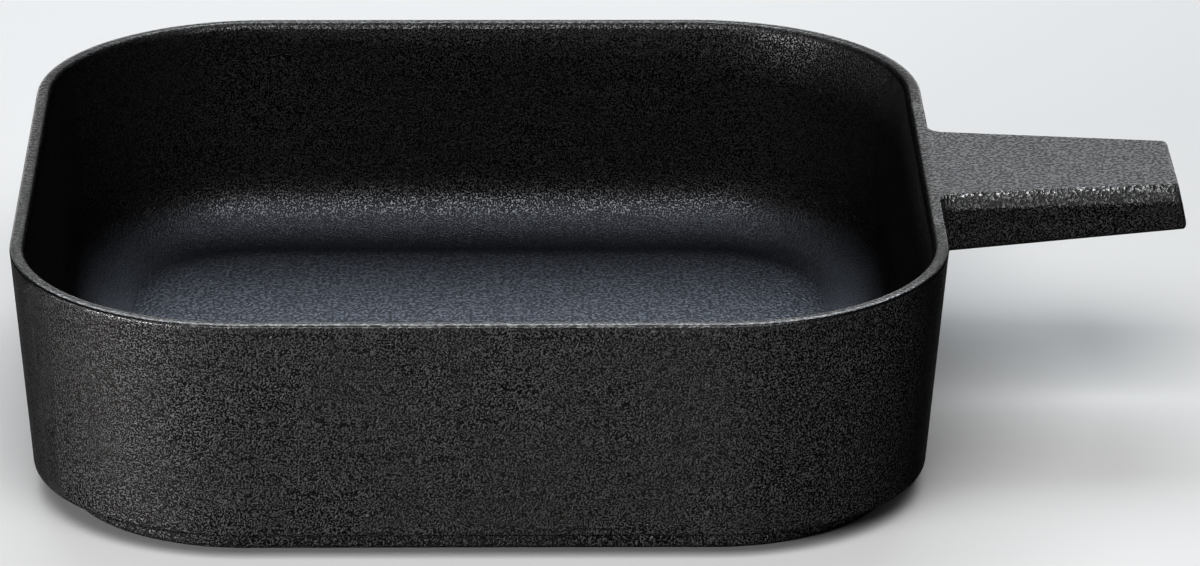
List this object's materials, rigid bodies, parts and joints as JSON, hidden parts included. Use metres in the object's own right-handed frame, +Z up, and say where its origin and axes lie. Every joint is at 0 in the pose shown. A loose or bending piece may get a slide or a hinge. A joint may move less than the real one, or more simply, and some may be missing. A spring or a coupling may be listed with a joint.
{
  "type": "square pan",
  "caption": "Square cast iron pan with large round corners, leaning walls, a coved inside, a stepped foot and a short tapered handle flush with the rim.",
  "frame": {"origin": "centre of the base's underside, under the middle of the square vessel", "axes": "+X towards the end of the handle, +Y towards the back, +Z up out of the pan"},
  "size_m": [0.254, 0.1998, 0.0545],
  "materials": {
    "floor_iron": "finer cast skin, seasoned black with a bluish sheen",
    "cast_skin": "pebbly sand-cast skin, seasoned satin black",
    "rim_iron": "ground smoother than the wall, seasoned black"
  },
  "bodies": {
    "root": {"base_plate": "floor_iron", "side_wall": "cast_skin", "rim": "rim_iron", "handle": "cast_skin"}
  },
  "joints": []
}
